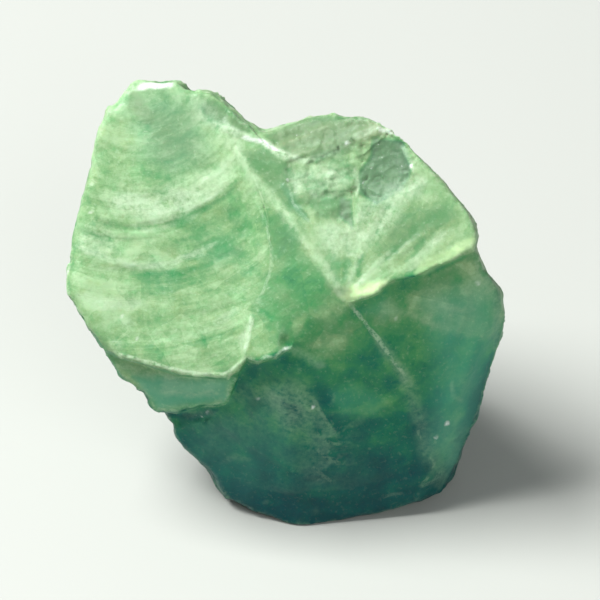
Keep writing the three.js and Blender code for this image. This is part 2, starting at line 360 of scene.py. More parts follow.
# Raised lines and sunk ones over the front: kind, width, height in millimetres, then their shapes.
creases = [
    (stroke, 0.7, 0.1, [(-5.2, 37.5), (-3, 34), (-0.3, 31), (3.2, 26.3), (5.6, 22.5)]),
    (stroke, 0.5, 0.12, [(-7.3, 40), (-4.6, 38.9), (-2.4, 38.2), (0.4, 36.5)]),
    (stroke, 0.45, -0.08, [(6.2, 22), (8.1, 19.6), (11.2, 15.1), (13, 11)]),
    (stroke, 0.4, 0.12, [(-17.5, 17.2), (-13.3, 16), (-9.3, 15.1), (-6, 15.1), (-4.1, 16.8)]),
    (stroke, 0.4, 0.1, [(-3.6, 20.9), (-4.1, 17.4)]),
    (stroke, 0.4, 0.1, [(-3.8, 16.7), (-3, 16.4), (-1, 16.9), (0.3, 17.6)]),
    (patch, 0.3, 0.1, [(-3, 14.2), (1, 14.6), (2.2, 12.2), (5, 9), (4, 8.6), (5, 6.8), (3.6, 6.8),
        (4.6, 5), (1, 4.8), (-4, 8)]),
    (stroke, 0.3, -0.08, [(-0.4, 33.2), (2.2, 30.2)]),
]

# The edge down the right of the left scar is nearly gone, worn into the face beside it, and so is
# the edge that runs left from the ledge.
wornRim = {
    "path": [(-5.8, 39.2), (-4.2, 36.8), (-2.8, 33.4), (-1.8, 29.8), (-1.8, 26), (-2.9, 22.6),
        (-4, 20)],
    "lowerPath": [(5.6, 22.4), (2.4, 20.8), (1, 19.4), (0.4, 18.6)],
    "width": 4.2,
    "reach": 1.3,       # how far the step is spread
    "lowerReach": 2.0,
    "rough": (0.8, 0.7),    # how much the rough patch is worn, and how far
    "fan": 0.7,         # how much of the fan's crests goes
    "cell": 0.25,       # grid on which the mean height is read
    "cells": 20,        # and how many of its cells the mean takes in each way
}


def rim(path, uv):
    return stroke(wornRim[path], wornRim["width"], uv)


# The cap is broken in long low steps that climb to the right.
layers = {
    "outline": [(-2.4, 38.8), (2.5, 41.2), (9, 41.2), (10.4, 39), (7, 38), (3, 36.2), (0.2, 36.4)],
    "slope": math.radians(22),
    "waves": (0.16, 1.5),   # along the steps and across them, per millimetre
    "height": 0.2,
    "seed": 4.5,
}


def intoScene(name, data):
    thing = bpy.data.objects.new(name, data)
    bpy.context.scene.collection.objects.link(thing)
    return thing


def closedCopy(node):
    mesh = bpy.data.meshes.new("stoneBlank")
    shape = bmesh.new()
    shape.from_mesh(node.data)
    bmesh.ops.remove_doubles(shape, verts=shape.verts, dist=0.001 * mm)
    shape.to_mesh(mesh)
    shape.free()
    return intoScene("stoneBlank", mesh)


def plainMesh(thing, name):
    # the evaluated shape as a mesh of its own, with no modifier left
    graph = bpy.context.evaluated_depsgraph_get()
    made = bpy.data.meshes.new_from_object(thing.evaluated_get(graph))
    bpy.data.objects.remove(thing)
    made.name = name
    return made


def evenMesh():
    blank = closedCopy(chunkNode)
    remesh = blank.modifiers.new("even", "REMESH")
    remesh.mode = "VOXEL"
    remesh.voxel_size = stone["voxel"] * mm
    remesh.use_smooth_shade = True
    return plainMesh(blank, "stoneSurface")


class Surface:
    # the stone's vertices in millimetres, with what the relief and the masks need
    def __init__(self, mesh):
        self.mesh = mesh
        count = len(mesh.vertices)
        self.points = np.empty(count * 3, np.float32)
        mesh.vertices.foreach_get("co", self.points)
        self.points = self.points.reshape(-1, 3).astype(float) / mm
        self.edges = np.empty(len(mesh.edges) * 2, np.int32)
        mesh.edges.foreach_get("vertices", self.edges)
        self.edges = self.edges.reshape(-1, 2)
        self.links = np.bincount(self.edges.ravel(), minlength=count).astype(float)
        self.relief = np.zeros(count)   # how far each place stands out of its surroundings

    def neighbourMean(self, values):
        a, b = self.edges.T
        total = np.stack([
            np.bincount(a, column[b], len(column)) + np.bincount(b, column[a], len(column))
            for column in values.T], axis=1)
        return total / self.links[:, None]

    def levelled(self, values, passes):
        # the values of single places, smoothed over their neighbours
        values = values[:, None]
        for _ in range(passes):
            values = self.neighbourMean(values)
        return values[:, 0]

    def soften(self, passes, weight=1.0):
        weight = np.broadcast_to(weight, len(self.points))[:, None]
        for _ in range(passes):
            step = self.neighbourMean(self.points) - self.points
            self.points += 0.5 * weight * step

    def wear(self, weight, reach):
        # brings the front to the mean height around each place, where the weight says
        places = self.facePlaces()
        ahead = self.facing(0.25, 0.5)
        cell, cells = wornRim["cell"], wornRim["cells"]
        at = (places[:, :2] - places[:, :2].min(axis=0)) / cell
        near = np.floor(at).astype(int)
        size = near.max(axis=0) + 2
        seen = ahead > 0.3
        flat = (near @ np.array([size[1], 1]))[seen]
        kernel = np.exp(-0.5 * (np.arange(-cells, cells + 1) * cell / reach) ** 2)

        def spread(amount):
            grid = np.bincount(flat, amount, size.prod()).reshape(size)
            for axis in (0, 1):
                grid = np.apply_along_axis(np.convolve, axis, grid, kernel, "same")
            return grid

        level = spread(places[seen, 2]) / np.maximum(spread(np.ones(seen.sum())), 1e-9)
        (i, j), (s, t) = near.T, (at - near).T
        mean = ((1 - s) * ((1 - t) * level[i, j] + t * level[i, j + 1])
                + s * ((1 - t) * level[i + 1, j] + t * level[i + 1, j + 1]))
        move = weight * ahead * (mean - places[:, 2])
        self.points += move[:, None] * axes[2]

    def store(self):
        self.mesh.vertices.foreach_set("co", (self.points * mm).astype(np.float32).ravel())
        self.mesh.update()

    def normals(self):
        self.store()
        out = np.empty(len(self.points) * 3, np.float32)
        self.mesh.vertices.foreach_get("normal", out)
        return out.reshape(-1, 3).astype(float)

    def facing(self, low, high):
        # 1 where the stone faces the front, read over about a millimetre so that small steps
        # don't show
        return smooth(low, high, self.levelled(self.normals() @ axes[2], stone["facingPasses"]))

    def awayFromSteps(self, values):
        # 0 where the values jump from one place to the next, 1 elsewhere
        a, b = self.edges.T
        length = np.linalg.norm(self.points[a] - self.points[b], axis=1)
        jump = np.abs(values[a] - values[b]) > 2.5 * length + 0.05
        calm = np.ones((len(values), 1))
        calm[a[jump]] = calm[b[jump]] = 0
        for _ in range(3):
            calm = np.minimum(calm, self.neighbourMean(calm))
        return smooth(0.3, 1, calm[:, 0])

    def crests(self):
        # how sharply the surface turns outwards, from 0 on the flats to 1 on a sharp edge
        step = self.points - self.neighbourMean(self.points)
        turn = np.sum(step * self.normals(), axis=1)[:, None]
        for _ in range(2):
            turn = 0.5 * turn + 0.5 * self.neighbourMean(turn)
        return smooth(0.006, 0.03, turn[:, 0])

    def lift(self, height):
        # moves the surface out by the height, but leaves the base flat
        above = smooth(0.02, stone["relief"], self.points[:, 2])
        self.points += self.normals() * (height * above)[:, None]
        self.points[:, 2] = np.maximum(self.points[:, 2], 0)

    def facePlaces(self):
        return (self.points - foot) @ axes.T

    def attribute(self, name, values):
        layer = self.mesh.attributes.new(name, "FLOAT", "POINT")
        layer.data.foreach_set("value", np.clip(values, 0, 1).astype(np.float32))


def ribs(values, uv, points):
    # rings about the blow that step down outwards, like the ripples of broken glass
    radius, _ = polar(values["blow"], uv)
    seed = values["seed"]
    radius += values["warp"] * wobble(points, 7, seed) + 0.12 * wobble(points, 1.4, seed + 1)
    strength = 0.6 + 1.1 * wobble(points, 5, seed + 2)
    height = np.zeros(len(uv))
    for place, rise, inner, outer in values["ribs"]:
        side = np.where(radius < place, inner, outer)
        height += rise * np.exp(-((radius - place) / side) ** 2)
    return height * np.clip(strength, 0.1, 1.3)


def scarReach(points):
    # distance from the nearest blow, bent a little
    away = np.min([np.linalg.norm(points - np.array(blow), axis=1) for blow in otherScars["blows"]],
                  axis=0)
    return away + otherScars["warp"] * otherScars["pitch"] * wobble(points, 8, otherScars["seed"])


def scarRipples(points):
    # rises slowly outwards and drops at each ripple
    away = scarReach(points)
    wave = away / otherScars["pitch"] % 1
    profile = wave ** 1.6 * (1 - smooth(0.86, 1, wave))
    calm = np.clip(0.5 + 1.2 * wobble(points, 7, otherScars["seed"] + 1), 0, 1.2)
    return profile * calm * np.exp(-away / otherScars["fade"])


def cleavageSteps(points):
    # low stairs along the stone's own flat partings, each set in its own patches
    height = np.zeros(len(points))
    seed = cleavage["seed"]
    for number, (across, pitch) in enumerate(cleavage["sets"]):
        across = np.array(across) / np.linalg.norm(across)
        depth = points @ across + cleavage["warp"] * wobble(points, 6, seed + number)
        wave = depth / pitch % 1
        where = smooth(0.12, 0.3, wobble(points, cleavage["patch"], seed + 5 + number))
        height += where * wave * (1 - smooth(0.9, 1, wave))
    return height


def fanLines(uv):
    # splinters that run straight out from the hub
    radius, _ = polar(hackles["hub"], uv)
    broad, fine = hackles["waves"]
    lines = streaks(hackles["hub"], uv, broad, 0.1, hackles["seed"])
    lines += 0.6 * streaks(hackles["hub"], uv, fine, 0.2, hackles["seed"] + 4)
    start, full, ebb, end = hackles["reach"]
    return lines * smooth(start, full, radius) * (1 - smooth(ebb, end, radius))


def layerLines(uv):
    turn = np.array([math.cos(layers["slope"]), math.sin(layers["slope"])])
    along, across = uv @ turn, uv @ np.array([-turn[1], turn[0]])
    long, short = layers["waves"]
    return np.array([noise.noise(Vector((a * long, b * short, layers["seed"])))
                     for a, b in zip(along, across)])


def wearEdges(surface, uv):
    share, roughReach = wornRim["rough"]
    surface.wear(rim("path", uv), wornRim["reach"])
    surface.wear(share * region("rough", 0.6, uv), roughReach)
    surface.wear(rim("lowerPath", uv), wornRim["lowerReach"])


def frontHeight(front, points, uv):
    # the relief of the front, in millimetres
    rough = region("rough", 0.7, uv) * front
    height = region("shell", 1.8, uv) * ribs(shellRipples, uv, points)
    height += region("lower", 0.8, uv) * ribs(lowerRipples, uv, points)
    height += region("fan", 0.6, uv) * (1 - rough) * hackles["height"] * fanLines(uv)
    height += patch(layers["outline"], 0.5, uv) * layers["height"] * layerLines(uv)
    for kind, width, rise, *paths in creases:
        height += rise * sum(kind(path, width, uv) for path in paths)
    return height


def sideHeight(points):
    # the relief of the sides and the back
    height = otherScars["height"] * scarRipples(points)
    height += cleavage["height"] * cleavageSteps(points)
    return height + uneven(stone["sideSwell"], points)


def brokenShare(front, points, uv):
    # how rough the break is, from 0 to 1
    size, strength, seed = stone["sideRough"]
    ahead = region("rough", 0.7, uv) + region("notch", 0.5, uv)
    ahead += 0.4 * region("ledge", 0.4, uv)
    beside = strength * smooth(0.05, 0.35, wobble(points, size, seed))
    return front * ahead + (1 - front) * beside


def carveStone():
    surface = Surface(evenMesh())
    surface.soften(stone["softening"])
    uv = surface.facePlaces()[:, :2]
    front = surface.facing(0.15, 0.5)
    surface.soften(stone["shellSoftening"], region("shell", 0.5, uv) * front)
    wearEdges(surface, uv)

    uv = surface.facePlaces()[:, :2]
    points = surface.points.copy()
    height = uneven(stone["swell"], points) + uneven(stone["pucker"], points)
    height += front * frontHeight(front, points, uv) + (1 - front) * sideHeight(points)
    surface.lift(height)
    surface.store()
    surface.relief = height - surface.levelled(height, stone["reliefPasses"])
    surface.attribute("rough", brokenShare(front, points, uv))
    worn = rim("path", uv)
    worn = np.maximum(worn, rim("lowerPath", uv))
    worn = np.maximum(worn, wornRim["fan"] * region("fan", 1.0, uv)) * front
    surface.attribute("crest", surface.crests() * (1 - worn))
    return surface


# What breaks the surface up: flat broken plates where it is rough, fine grain all over, and nicks
# along the sharp edges. Lengths are in millimetres.
grain = {
    "Plate Size": 1.5,
    "Plate Height": 0.42,
    "Grain Size": 0.6,
    "Grain Height": 0.16,
    "Smooth Share": 0.16,   # share of the grain that the smooth faces get
    "Nick Size": 1.3,
    "Nick Depth": 0.34,
    "Seed": 11,
}


def grainTree():
    tree = bpy.data.node_groups.new("brokenGrain", "GeometryNodeTree")
    tree.interface.new_socket("Stone", in_out="INPUT", socket_type="NodeSocketGeometry")
    for name, value in grain.items():
        kind = "NodeSocketInt" if isinstance(value, int) else "NodeSocketFloat"
        tree.interface.new_socket(name, in_out="INPUT", socket_type=kind)
    tree.interface.new_socket("Finish", in_out="INPUT", socket_type="NodeSocketMaterial")
    tree.interface.new_socket("Stone", in_out="OUTPUT", socket_type="NodeSocketGeometry")
    g = Graph(tree)
    given = tree.nodes.new("NodeGroupInput")
    use = {item.name: Plug(g, item) for item in given.outputs if item.name}

    place = g.vectors("SCALE", g.add("GeometryNodeInputPosition"), scale=1 / mm)
    shift = g.vectors("SCALE", (3.1, 7.7, 5.3), scale=use["Seed"])
    normal = g.add("GeometryNodeInputNormal")
    rough, crest = [g.add("GeometryNodeInputNamedAttribute", {"data_type": "FLOAT"}, {"Name": name})
                    for name in ("rough", "crest")]
    plates = g.plates(place, shift, use["Plate Size"])
    fine = g.plates(place, shift, use["Grain Size"])
    chips = g.plates(place, shift, use["Nick Size"])
    height = rough * plates * use["Plate Height"]
    height += fine * use["Grain Height"] * (rough + use["Smooth Share"])
    height -= crest * (chips + 0.15).clip() * use["Nick Depth"]
    rise = g.part(place, 2).ramp(0.02, stone["relief"])
    offset = g.vectors("SCALE", normal, scale=height * rise * mm)
    moved = g.add("GeometryNodeSetPosition", {}, {"Geometry": use["Stone"], "Offset": offset})
    real = g.add("GeometryNodeRealizeInstances", {}, {"Geometry": moved})
    dressed = g.add("GeometryNodeSetMaterial", {}, {"Geometry": real, "Material": use["Finish"]})
    tree.links.new(dressed.socket, tree.nodes.new("NodeGroupOutput").inputs["Stone"])
    return tree


def breakUp(mesh, finish):
    thing = intoScene("stoneSurface", mesh)
    modifier = thing.modifiers.new("grain", "NODES")
    modifier.node_group = grainTree()
    values = {**grain, "Finish": finish}
    for item in modifier.node_group.interface.items_tree:
        if item.in_out == "INPUT" and item.name in values:
            modifier[item.identifier] = values[item.name]
    return plainMesh(thing, "fluoriteChunk")


# Places over the front that several kinds of mark share.
forms = {
    "hollow": [(8.3, 38.7), (11.4, 38.1), (12.3, 35.2), (11, 33.2), (8.8, 32), (7.2, 33), (7, 35.2),
        (8.3, 36.7)],
    "wedge": [(5.2, 32.6), (6.3, 32.4), (6.4, 29.4), (5, 31)],
    "shelf": [(1.6, 32.4), (5.4, 33), (5.8, 30.4), (3, 30.6)],
    "flap": [(-4.7, 37.2), (-2.5, 37.7), (-0.2, 36.2), (0.7, 33.4), (1.9, 30.6), (-0.2, 31.7),
        (-2.4, 34.2)],
    "flapFoot": [(-0.7, 34), (1.9, 30.3)],
    "gully": [(-2.1, 30.6), (-0.7, 31), (1, 28.6), (0.4, 26.8), (-1.2, 26.6)],
    "crease": [(-5.4, 37.5), (-3, 34), (-0.3, 31), (1.2, 28.7), (3.2, 26.3), (5.6, 22.6)],
    "steepRay": [(5.7, 23), (6.4, 25), (7.4, 27.4)],
    "lowRay": [(6.2, 23), (8.4, 25.6), (10.4, 27.6)],
    "capTip": [(8.9, 39.5), (10.4, 38.9)],
    "nick": [(16.2, 14.4), (16.5, 13), (17.4, 12.4)],
}

# Marks over the front: kind, width or softness, strength, then the places of all marks like that.
# The tone runs from the dark foot, 0, to the light top, 1, and its marks lighten or darken it. The
# others only add.
marks = {}
marks["tone"] = [
    # the left scar
    (stroke, 0.75, -0.1, [(-15, 29.7), (-12.8, 29.6), (-10.6, 30.2), (-8.4, 31.5), (-4.6, 34.6)]),
    (patch, 1.6, -0.12, [(-12, 28.5), (-5, 33.5), (-2.8, 30), (-3, 25.2), (-8.5, 25.4)]),
    (spot, 2.0, -0.06, (-9.3, 29.4)),
    (stroke, 0.5, -0.06, [(-17, 25.4), (-13, 25), (-8.5, 25.7), (-5.5, 27.6)]),
    (patch, 1.3, -0.07, [(-15, 25.4), (-8, 25.6), (-7.4, 23.2), (-13, 22.6)]),
    (spot, 1.8, -0.05, (-6, 27.2)),
    (patch, 1.2, -0.06, [(-12.5, 19.6), (-6, 19.4), (-5, 17), (-7, 15.6), (-12.5, 16.6)]),
    (spot, 1.5, 0.06, (-15.5, 19)),
    (stroke, 1.3, 0.06, [(-20.5, 22.6), (-16, 21.8), (-11, 22)]),
    # towards the peak
    (stroke, 1.1, -0.07, [(-15.8, 42.6), (-13.8, 39.6)]),
    (patch, 1.2, -0.07, [(-13.6, 39.4), (-9, 39.8), (-8.4, 36), (-12, 35.2)]),
    (stroke, 1.6, -0.25, [(-8.4, 41.6), (-6, 40.4), (-4, 39.5)]),
    (patch, 1.4, -0.08, [(-14, 43), (-9.4, 42.4), (-7.6, 40.4), (-10, 39.6), (-13.6, 41)]),
    # either side of the crease; right of its top, painted shadow on the lower face
    (patch, 0.5, -0.17, forms["flap"]),
    (stroke, 0.6, -0.09, forms["flapFoot"]),
    (patch, 0.9, -0.23, forms["gully"]),
    (stroke, 0.35, -0.12, [(-2.8, 21.7), (-1.5, 20.6)]),
    (patch, 1.0, -0.22, [(-0.8, 24.6), (0.6, 27.2), (3.4, 24.8), (4.4, 23.2), (1.4, 22.2)]),
    (patch, 1.2, -0.09, [(-3.4, 21.4), (-1.4, 24), (0.6, 21.6), (-1.6, 19.6)]),
    # the cap, the rough patch and its hollows; the cap, the hollow and the wedge get painted shade
    (patch, 0.6, -0.16, [(-2.2, 38.9), (1.4, 40.6), (1.8, 37.6), (0.2, 36.6)]),
    (patch, 0.9, -0.27, [(1.6, 41), (8.4, 41), (7, 38.2), (3.4, 36.6), (1.4, 37.2)]),
    (patch, 1.2, -0.12, [(0.4, 35.8), (6.6, 37.4), (7, 32.6), (1.2, 32.4)]),
    (patch, 0.25, -0.48, forms["hollow"]),
    (fade, 2.2, -0.12, [(12.3, 34.4), (12.4, 36.5), (11, 38.6), (9, 38.9), (7.2, 37.2)]),
    (patch, 0.2, -0.4, forms["wedge"]),
    (patch, 0.6, -0.18, forms["shelf"]),
    # the fan, with a painted shadow across its right part
    (patch, 1.4, -0.17, [(9.4, 29.6), (15.5, 31.9), (16.6, 30.9), (12.4, 27.7), (9.8, 27)]),
    (patch, 0.6, -0.15, [(4.2, 26.9), (6.3, 26.2), (6, 24.2), (4.7, 23.8)]),
    (stroke, 0.4, -0.16, [(6.9, 24.8), (7.4, 27)]),
    (stroke, 0.4, -0.08, [(9.6, 26.2), (11.3, 28.6)], [(12.2, 26.7), (13.6, 28.8)]),
    (stroke, 0.5, -0.12, [(10.2, 24.6), (12, 25), (14, 25.8)]),
    # light coming through the lower front
    (stroke, 1.5, 0.12, [(0.2, 18.6), (2.2, 20.4), (5.2, 21.4)]),
    (patch, 1.0, 0.2, [(1.6, 18.4), (4.4, 21.2), (6, 20.6), (5.8, 18.4), (4.4, 16.6), (2.4, 16.6)]),
    (patch, 0.6, 0.11, [(7.4, 21.4), (9.4, 22.8), (13, 24), (11.6, 19), (9.4, 18.4)]),
    (patch, 0.3, 0.18, [(11.8, 21.2), (13.2, 24.6), (17.6, 26.6), (20.4, 24), (19.6, 18.6),
        (14.2, 19.7)]),
    (patch, 0.4, 0.05, [(14, 25), (17.6, 26.6), (19.8, 24), (19, 19.4), (15.4, 20.6)]),
    (patch, 0.6, 0.13, [(4.2, 13.4), (6.4, 14.4), (9.6, 13.4), (12, 11.6), (9, 10.8), (5.4, 11)]),
    (patch, 0.4, 0.02, [(8.6, 20.8), (13.6, 19.6), (15.4, 17.4), (12.4, 14.6), (10, 17.2)]),
    (patch, 0.7, -0.14, [(2.2, 15), (4, 14.4), (4.8, 12.8), (3.4, 11.6), (2.4, 13.4)]),
    (spot, 2.2, -0.07, (-2.6, 6.2)),
    (patch, 1.0, -0.08, [(15, 12), (19, 17.6), (20.6, 17), (17.4, 6), (14.6, 5)]),
    (stroke, 1.4, -0.19, [(20.6, 17), (19.2, 14), (18, 11)]),
    (patch, 1.2, 0.24, [(16.8, 12.6), (17.8, 12.4), (17.8, 10), (16, 5), (13.6, 4), (14.6, 9.6)]),
    (patch, 2.0, -0.05, [(-10, 10), (-4, 11), (-2, 8), (-4, 4), (-9, 7)]),
    (stroke, 0.9, -0.14, [(-12.4, 12.5), (-7, 12.8)]),
    (stroke, 0.7, 0.1, [(-12.6, 14), (-9, 13.7), (-6.8, 14.1)]),
    (stroke, 0.6, -0.1, [(-15.4, 14.9), (-12.4, 14.6)]),
    (stroke, 0.5, -0.2, [(-12.6, 11.2), (-9.6, 10.8), (-7, 11.6)]),
    (stroke, 0.9, -0.25, [(21.7, 19.6), (20.6, 16.4), (18.8, 12.4), (16.8, 8.4)]),
]
marks["veil"] = [
    # the pale band and the finer pale rings below it
    (fade, 2.4, 0.5, [(-17.4, 31), (-14.8, 30.1), (-12.8, 30), (-10.6, 30.6), (-8.4, 31.9), (-6, 33.6),
        (-4.6, 35.2)]),
    (patch, 0.9, 0.35, [(-18.8, 32.9), (-15.8, 33.8), (-12, 33.7), (-7.8, 35.5), (-4.4, 37.4),
        (-6, 33.9), (-9.4, 31.7), (-12.6, 30.4), (-17.6, 31.3)]),
    (stroke, 1.5, 0.75, [(-17, 32.4), (-13.6, 31.7), (-11.4, 32), (-9, 33)]),
    (spot, 0.7, 0.5, (-11.7, 33.6)),
    (stroke, 0.4, 0.35, [(-16, 30.1), (-13.8, 29.4), (-11.4, 29.9), (-8.8, 31)]),
    (stroke, 0.5, 0.5, [(-21, 27.8), (-17.6, 26.5), (-14.4, 25.8), (-11.4, 26.2), (-7, 28.2)]),
    (stroke, 0.4, 0.4, [(-11, 26.7), (-8, 27)]),
    (stroke, 1.1, 0.35, [(-20.8, 23), (-18.8, 22.2), (-14.8, 22)]),
    (patch, 0.9, 0.35, [(-21, 29.8), (-18.4, 30.6), (-16.8, 28.4), (-18, 26.6), (-20.6, 27.2)]),
    (spot, 1.1, 0.35, (-17.2, 18)),
    (spot, 0.8, 0.3, (-15.9, 20.2)),
    (stroke, 0.5, 0.45, [(-7.4, 20), (-4.8, 21.6)]),
    # down from the peak, with a painted highlight along the peak's top edge
    (stroke, 1.7, 0.4, [(-9.6, 42.6), (-7.2, 40.3), (-4.8, 37.6)]),
    (stroke, 0.6, 1.0, [(-15, 43.7), (-13, 44), (-11.6, 43.6)]),
    # the crease, and the crack that carries it on below the ledge
    (stroke, 0.9, 0.35, forms["crease"]),
    (stroke, 0.8, 0.75, [(8.6, 18.9), (10.4, 16.6), (12.2, 14)]),
    (stroke, 1.2, 0.5, [(11.6, 15), (12.4, 12.6), (13.4, 9.8)]),
    (stroke, 1.3, 0.4, [(13.2, 10.2), (13.8, 7.6), (15, 5.2), (15.2, 3.6)]),
    # the ridge from the peak through the saddle, and the cap's own ridge, partly painted highlights
    # along them
    (stroke, 0.55, 0.8, [(-7.2, 39.8), (-4.6, 38.9), (-2.4, 38.2), (-0.4, 36.9), (1.8, 36.2)]),
    (stroke, 0.5, 0.5, [(1.4, 36.2), (4.7, 37.2), (6.4, 38.6), (9, 39.6)]),
    (stroke, 0.3, 0.35, [(1.2, 37.6), (5, 38.6), (7, 39.8)]),
    (stroke, 0.4, 1.0, forms["capTip"]),
    # the rough patch
    (patch, 1.1, 0.45, [(-0.4, 35.2), (3.2, 36), (5.8, 35.4), (6, 33), (2.4, 32.6), (0.4, 33.4)]),
    (spot, 0.7, 0.7, (0.8, 34)),
    (spot, 0.6, 0.7, (4.2, 35.1), (2.5, 32.9)),
    (stroke, 0.5, 0.5, [(6.4, 35.6), (7, 34), (6.8, 32.8)]),
    (stroke, 0.35, 0.8, [(11.4, 37.6), (12.2, 36.2), (12.3, 35.2)]),
    # the plume under it
    (patch, 1.1, 0.6, [(3, 29.4), (5, 30.4), (6.4, 29.2), (10.6, 32), (11.2, 31), (8.4, 28.4), (5, 27),
        (3.4, 27.8)]),
    (spot, 0.8, 0.5, (4.6, 27.4)),
    (stroke, 1.8, 0.5, [(6.8, 30.6), (10.4, 32.8), (13.4, 34.2)]),
    (stroke, 0.7, 0.35, [(11.8, 25.4), (13.6, 27.2), (15.4, 29.2)]),
    (stroke, 0.4, 0.4, forms["steepRay"]),
    (stroke, 0.4, 0.35, forms["lowRay"]),
    (stroke, 0.35, 0.3, [(5.4, 22.8), (4.4, 24.8), (3.6, 26.6)]),
    # along the zigzag crest
    (stroke, 0.8, 0.65, [(0.2, 17.6), (1.6, 17), (2.6, 16.4), (3.6, 16.1)]),
    # a painted glint on the steep step where the left scar meets the centre
    (patch, 0.3, 0.6, [(-3.6, 20.6), (-3.9, 18.6), (-4.5, 17.4), (-4.9, 18.6), (-4.3, 19.8)]),
    # the ragged veil in the lower front, sharp on the right and feathered
    (fade, 5.5, 0.6, [(1.6, 3.4), (3.7, 4.4), (3, 5.4), (4.7, 6.4), (3.7, 7), (4.6, 7.9), (3.6, 8.7),
        (4.9, 9.2), (3.3, 11.2), (2.5, 12.8), (1.8, 14.2), (1.4, 15)]),
    (stroke, 1.6, 0.3, [(1.4, 14), (-1.6, 13.8), (-5.4, 12.8)]),
    (patch, 1.2, 1.0, [(-3, 13.4), (1.6, 14), (2.8, 11.4), (0.2, 9.4)]),
    (fade, 1.6, 0.4, [(3.9, 9.1), (5.6, 8.7), (3.8, 10.2), (2.4, 12.6)]),
    (fade, 1.4, 0.4, [(2.6, 6.3), (5.4, 6.1), (3.4, 7.1)], [(2.4, 7.4), (5.2, 7.5), (3.4, 8.6)]),
    (fade, 1.2, 0.3, [(1.6, 4.7), (4.2, 4.3), (2.6, 5.5)]),
    (fade, 3.0, 0.2, [(-5, 4.2), (0, 3.2), (6, 3.6), (11, 5)]),
    (spot, 0.4, 0.9, (2.5, 11.7)),
    (spot, 0.5, 0.3, (2.8, 1.4)),
    (spot, 0.4, 0.3, (-2.2, 2.2)),
    (stroke, 0.5, 0.35, [(-6.6, 6.2), (-5.2, 6.8), (-3.8, 6.5)]),
    (stroke, 0.28, 0.5, [(4.7, 13), (4.3, 12)]),
    (patch, 2.0, 0.24, [(-9, 10), (-6, 11.8), (-2, 11.8), (-2, 9), (-8, 7.4)]),
    # the small ledge
    (stroke, 0.7, 0.3, [(-17, 16), (-13.6, 15), (-11, 14.6)]),
    (stroke, 0.5, 0.35, [(-12.8, 13.4), (-9.6, 13), (-7, 13.3)]),
    (stroke, 0.6, 0.35, [(-10.4, 11), (-7.2, 11.4)]),
    # the right side
    (stroke, 1.7, 0.75, [(18.9, 26.2), (20.8, 23.4), (21.6, 20.6), (20.8, 17.6)]),
    (stroke, 0.6, 0.4, [(14.6, 22.4), (16.6, 21.4), (18.6, 21.6)]),
    (stroke, 0.6, 0.35, [(12, 21.3), (14.4, 19.9), (18.4, 18.9)]),
    (patch, 1.2, 0.25, [(16.4, 15), (18.4, 15.4), (18.8, 13.6), (17, 12.4)]),
    (stroke, 0.3, 0.5, forms["nick"]),
    (stroke, 1.0, 0.3, [(17.8, 9.6), (16.4, 6.4), (15.2, 3.8)]),
    (patch, 1.6, 0.35, [(14.4, 10.6), (17.2, 11), (17.6, 8.4), (15.4, 5.6), (14, 6.6)]),
]
# Painted glow: light coming out through the thin ledge and along its edge to the right.
marks["glow"] = [
    (patch, 0.3, 0.95, [(6.6, 23.2), (7.8, 24.3), (10, 24.4), (9.2, 23.5), (7.6, 22.8)]),
    (patch, 0.4, 0.7, [(5.2, 22.8), (6.4, 24), (7.8, 23.8), (7.2, 22.7), (5.8, 22.3)]),
    (stroke, 0.9, 0.5, [(12.6, 25.2), (14.4, 26.2), (17.2, 27.5)]),
    (stroke, 0.8, 0.5, [(16.4, 27.6), (18.6, 28.4)]),
]
# Painted highlights along the peak's top edge, the ridge through the saddle and the cap's tip, and
# single painted glints.
marks["shine"] = [
    (patch, 0.2, 1.0, [(-15.2, 43.3), (-14.2, 44.2), (-11.6, 44.4), (-11.4, 43.7), (-13.4, 43.5)]),
    (stroke, 0.28, 0.8, [(-4.6, 38.7), (-2.4, 38.2), (-0.9, 37.4)]),
    (spot, 0.3, 0.9, (12.2, 35.7), (15.9, 10.3)),
    (spot, 0.3, 0.8, (-0.3, 17.6)),
    (spot, 0.25, 0.8, (2.5, 11.9)),
    (spot, 0.25, 0.7, (5.9, 38.1), (14.7, 8.8)),
    (stroke, 0.25, 0.6, forms["capTip"]),
    (spot, 0.25, 0.6, (18.8, 24.1)),
    (spot, 0.25, 0.45, (-3.1, 12.7)),
    (spot, 0.22, 0.6, (21.7, 21.5)),
    (spot, 0.22, 0.5, (10.7, 20.6), (-8.1, 11.3)),
    (spot, 0.2, 0.5, (-16.4, 20.8), (-14.9, 18.6), (-19.6, 31.2)),
]
# Greyer olive: partly the stone's own colour, partly painted shade on the cap, in the hollow, the
# wedge, the flap and the fan's shadow.
marks["dusty"] = [
    (patch, 0.9, 1.0, [(-2.2, 38.9), (1.4, 40.8), (8.4, 41), (10.2, 39), (5, 36.8), (0.2, 36.4)]),
    (patch, 0.4, 0.75, forms["hollow"]),
    (patch, 0.2, 0.8, forms["wedge"]),
    (patch, 0.6, 0.4, forms["shelf"]),
    (stroke, 1.4, 0.8, [(-8.4, 41.8), (-6, 40.4), (-4, 39.5)]),
    (patch, 1.0, 0.2, [(5, 23.4), (-3.8, 37), (1.5, 36.2), (4.5, 37.2), (11, 38.5), (15, 34), (18, 29),
        (10, 25.4)]),
    (patch, 1.2, 0.25, [(-2.8, 20.6), (-1.2, 30), (1.4, 28.2), (4.4, 24), (1.6, 22)]),
    (patch, 1.4, 0.4, [(9.8, 29.6), (15.5, 31.9), (16.6, 30.9), (12.4, 27.7), (9.8, 27)]),
    (stroke, 1.1, 0.5, [(-15.6, 42.8), (-13.6, 40)]),
    (patch, 1.6, 0.6, [(-14.6, 42), (-9, 41.4), (-8.4, 36.6), (-13, 36)]),
    (patch, 0.9, 0.4, forms["gully"]),
    (patch, 0.5, 0.45, forms["flap"]),
]
